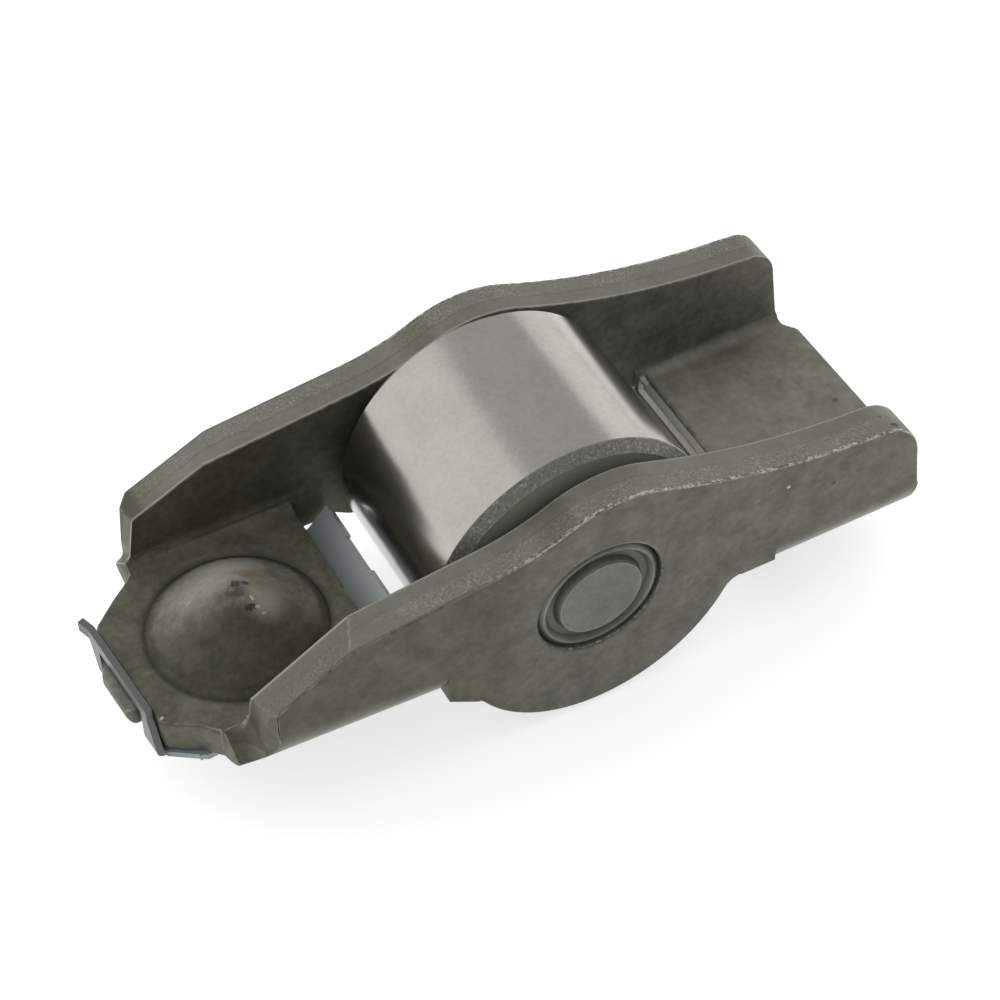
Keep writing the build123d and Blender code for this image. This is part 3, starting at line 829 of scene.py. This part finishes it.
@dataclass
class Bearing:
    """The axle, the needles and the roller."""

    needle_count: int = 16
    roller_radius_mm: float = 8.5
    roller_half_mm: float = 6.1
    chamfer_mm: float = 0.6
    chamfer_grain_mm: float = 0.2
    chamfer_depth_mm: float = 0.03
    # The real honing lines are finer than a pixel, so they are drawn 0.25 mm apart, and long
    # round the roller.
    honing_mm: float = 0.25
    honing_depth_mm: float = 0.0012
    honing_stretch: tuple[float, float, float] = (0.08, 1.0, 0.08)
    button_mm: float = 2.55
    groove_mm: float = 3.25
    rim_mm: float = 3.45

    def roller(self) -> bpy.types.Material:
        """Makes ground steel with a rough, speckled chamfer and dull side faces.

        Returns:
            The roller's steel.
        """
        shading = GROUND_BEARING_STEEL.build()
        radius = shading.from_axis(shading.x, shading.z, AXLE_MM)
        chamfer_radius = self.roller_radius_mm - self.chamfer_mm
        chamfer_out = self.roller_half_mm - self.chamfer_mm
        side = shading.all_of(
            shading.step(shading.out, self.roller_half_mm - 0.12, self.roller_half_mm - 0.02),
            shading.step(radius, chamfer_radius + 0.05, chamfer_radius - 0.05))
        chamfer = shading.all_of(
            shading.step(shading.out, chamfer_out, chamfer_out + 0.06),
            shading.step(radius, chamfer_radius - 0.05, chamfer_radius))
        grain = shading.noise(self.chamfer_grain_mm, rough=0.7)
        shading.blend_colour(chamfer, "#86867d")
        shading.blend_colour(shading.all_of(chamfer, shading.step(grain, 0.52, 0.72)), "#bdbcb3")
        shading.blend_colour(shading.all_of(chamfer, shading.step(grain, 0.46, 0.3)), "#64645d")
        shading.raise_height(shading.all_of(chamfer, grain), self.chamfer_depth_mm)
        shading.blend_roughness(chamfer, 0.45)
        shading.blend_metal(chamfer, 0.6)
        shading.blend_colour(side, "#a5a598")
        shading.blend_roughness(side, 0.45)
        shading.blend_metal(side, 0.1)
        stretched = add_node(shading.tree, "ShaderNodeVectorMath", {"operation": "MULTIPLY"}, {
            0: shading.place, 1: self.honing_stretch})
        lines = shading.noise(self.honing_mm, place=stretched.outputs["Vector"])
        shading.raise_height(lines, self.honing_depth_mm)
        return shading.finish()

    def axle(self) -> bpy.types.Material:
        """Makes dull steel with painted shade and highlights on the staked end.

        Returns:
            The axle's steel.
        """
        shading = STAKED_AXLE_STEEL.build()
        radius = shading.from_axis(shading.x, shading.z, AXLE_MM)
        # Painted shade in the staking groove.
        groove = shading.band(radius, self.button_mm + 0.1, self.groove_mm, 0.1)
        shading.blend_colour(groove, "#3f3f37", strength=0.45)
        shading.blend_metal(groove, 0.4)
        # Painted shade outside the rim, towards the bore.
        flank = shading.step(radius, self.rim_mm + 0.1, self.rim_mm + 0.3)
        shading.blend_colour(flank, "#43433b", strength=0.75)
        # Painted highlights on the rim's crest and the button's edge.
        rim = shading.band(radius, self.rim_mm - 0.08, self.rim_mm + 0.08, 0.05)
        shading.blend_colour(rim, "#b2b2a8", strength=0.35)
        edge = shading.band(radius, self.button_mm - 0.08, self.button_mm + 0.06, 0.04)
        shading.blend_colour(edge, "#b2b2a8", strength=0.25)
        return shading.finish()

    def build(self) -> None:
        """Dresses the bearing's pieces."""
        dress("axle_pin", self.axle())
        dress("roller", self.roller())
        needle_steel = GROUND_NEEDLE_STEEL.build().finish()
        for number in range(self.needle_count):
            dress(f"needle_{number + 1:02d}", needle_steel)


@dataclass(frozen=True)
class SoftBox:
    """A soft lamp: where it stands, seen from the roller, how large it is and how bright.

    The azimuth is counted from +X towards +Y. A brightness of 1 looks white.
    """

    name: str
    azimuth: float
    elevation: float
    distance_mm: float
    width_mm: float
    height_mm: float
    brightness: float


@dataclass
class Studio:
    """The pale floor, the soft light and the camera."""

    floor_mm: float = 900.0
    floor_gap_mm: float = 0.4
    floor_colour: str = "#cdcdcb"
    floor_lift: float = 0.65
    white: str = "#ffffff"
    # The sky's strength in front and behind, as the camera and the metal's gloss see it.
    world_level: tuple[float, float] = (0.4, 0.6)
    # The sky as dull surfaces see it: its strength level with them, and what height and the side
    # behind add to it.
    dull_low: float = 0.3
    dull_high: float = 0.9
    dull_back: float = 0.55
    boxes: tuple[SoftBox, ...] = (
        SoftBox("left soft box", 128, 26.5, 300, 360, 310, 0.5),
        SoftBox("right soft box", 18, 14.5, 300, 267, 139, 0.6),
    )
    camera_mm: tuple[float, float, float] = (-28.618, -81.630, 110.329)
    azimuth: float = 28.846
    elevation: float = 48.4986
    lens_mm: float = 90.0
    sensor_mm: float = 36.0
    clip_start_mm: float = 5.0

    def pale(self, name: str) -> bpy.types.Material:
        """Makes pale floor paint that the camera and the metal's gloss see as white.

        Args:
            name: The paint's name.

        Returns:
            The paint.
        """
        material = bpy.data.materials.new(name)
        material.use_nodes = True
        tree = material.node_tree
        tree.nodes.clear()
        paint = add_node(tree, "ShaderNodeBsdfDiffuse", inputs={
            "Color": linear(self.floor_colour)})
        path = add_node(tree, "ShaderNodeLightPath")
        seen = add_node(tree, "ShaderNodeMath", {"operation": "MAXIMUM"}, {
            0: path.outputs["Is Camera Ray"], 1: path.outputs["Is Glossy Ray"]})
        seen = add_node(tree, "ShaderNodeMath", {"operation": "MAXIMUM"}, {
            0: seen.outputs["Value"], 1: path.outputs["Is Transmission Ray"]})
        lift = add_node(tree, "ShaderNodeMath", {"operation": "MULTIPLY"}, {
            0: seen.outputs["Value"], 1: self.floor_lift})
        glow = add_node(tree, "ShaderNodeEmission", inputs={
            "Color": linear(self.white), "Strength": lift.outputs["Value"]})
        both = add_node(tree, "ShaderNodeAddShader", inputs={
            0: paint.outputs["BSDF"], 1: glow.outputs["Emission"]})
        add_node(tree, "ShaderNodeOutputMaterial", inputs={"Surface": both.outputs["Shader"]})
        return material

    def floor(self) -> None:
        """Lays the floor just under the lever."""
        mesh = bpy.data.meshes.new("floor")
        shape = bmesh.new()
        bmesh.ops.create_grid(shape, x_segments=1, y_segments=1, size=self.floor_mm * MM / 2)
        low = CAD_BOX[0][2] - self.floor_gap_mm * MM
        bmesh.ops.translate(shape, verts=shape.verts, vec=(0, 0, low))
        shape.to_mesh(mesh)
        shape.free()
        mesh.materials.append(self.pale("pale floor paint"))
        plane = bpy.data.objects.new("floor", mesh)
        bpy.context.scene.collection.objects.link(plane)

    def world(self) -> None:
        """Adds light from all around, stronger from behind, that the camera sees as white."""
        world = bpy.data.worlds.new("studio")
        world.use_nodes = True
        tree = world.node_tree
        tree.nodes.clear()
        path = add_node(tree, "ShaderNodeLightPath")
        sky = add_node(tree, "ShaderNodeTexCoord")
        parts = add_node(tree, "ShaderNodeSeparateXYZ", inputs={
            "Vector": sky.outputs["Generated"]})
        level = add_node(tree, "ShaderNodeMapRange", {"interpolation_type": "SMOOTHSTEP"}, {
            "Value": parts.outputs["Y"], "From Min": -0.5, "From Max": 0.5,
            "To Min": self.world_level[0], "To Max": self.world_level[1]})
        shown = add_node(tree, "ShaderNodeMath", {"operation": "MAXIMUM"}, {
            0: level.outputs["Result"], 1: path.outputs["Is Camera Ray"]})
        seen = add_node(tree, "ShaderNodeBackground", inputs={
            "Color": linear(self.white), "Strength": shown.outputs["Value"]})
        raised = add_node(tree, "ShaderNodeMath", {"operation": "MULTIPLY_ADD"}, {
            0: parts.outputs["Z"], 1: self.dull_high, 2: self.dull_low})
        turned = add_node(tree, "ShaderNodeMath", {"operation": "MULTIPLY_ADD"}, {
            0: parts.outputs["Y"], 1: self.dull_back, 2: raised.outputs["Value"]})
        dull = add_node(tree, "ShaderNodeMath", {"operation": "MAXIMUM"}, {
            0: turned.outputs["Value"], 1: 0.0})
        soft = add_node(tree, "ShaderNodeBackground", inputs={
            "Color": linear(self.white), "Strength": dull.outputs["Value"]})
        mix = add_node(tree, "ShaderNodeMixShader", inputs={
            0: path.outputs["Is Diffuse Ray"], 1: seen.outputs["Background"],
            2: soft.outputs["Background"]})
        add_node(tree, "ShaderNodeOutputWorld", inputs={"Surface": mix.outputs["Shader"]})
        bpy.context.scene.world = world

    def lamp(self, box: SoftBox) -> None:
        """Adds a soft box that faces the roller.

        Args:
            box: Where it stands, how large it is and how bright.
        """
        data = bpy.data.lights.new(box.name, "AREA")
        data.shape = "RECTANGLE"
        data.size = box.width_mm * MM
        data.size_y = box.height_mm * MM
        data.energy = box.brightness * math.pi * data.size * data.size_y
        lamp = bpy.data.objects.new(box.name, data)
        turn = math.radians(box.azimuth)
        rise = math.radians(box.elevation)
        away = Vector((math.cos(rise) * math.cos(turn), math.cos(rise) * math.sin(turn),
                       math.sin(rise)))
        target = Vector((AXLE_MM[0], 0, AXLE_MM[1])) * MM
        lamp.matrix_world = (Matrix.Translation(target + away * box.distance_mm * MM)
                             @ away.to_track_quat("Z", "Y").to_matrix().to_4x4())
        bpy.context.scene.collection.objects.link(lamp)

    def camera(self) -> None:
        """Sets the camera where the photograph was taken from."""
        data = bpy.data.cameras.new("camera")
        data.lens = self.lens_mm
        data.sensor_width = self.sensor_mm
        data.clip_start = self.clip_start_mm * MM
        camera = bpy.data.objects.new("camera", data)
        turn = math.radians(self.azimuth)
        fall = math.radians(self.elevation)
        look = Vector((math.cos(fall) * math.sin(turn), math.cos(fall) * math.cos(turn),
                       -math.sin(fall)))
        camera.matrix_world = (Matrix.Translation(Vector(self.camera_mm) * MM)
                               @ look.to_track_quat("-Z", "Y").to_matrix().to_4x4())
        bpy.context.scene.collection.objects.link(camera)
        bpy.context.scene.camera = camera

    def build(self) -> None:
        """Sets up the floor, the light and the camera."""
        bpy.context.scene.view_settings.view_transform = "Standard"
        self.floor()
        self.world()
        for box in self.boxes:
            self.lamp(box)
        self.camera()
        log.info("studio is set up")


def main() -> None:
    """Builds and dresses everything in order."""
    Studio().build()
    Lever().build()
    Clip().build()
    Bearing().build()


if __name__ == "__main__":
    main()
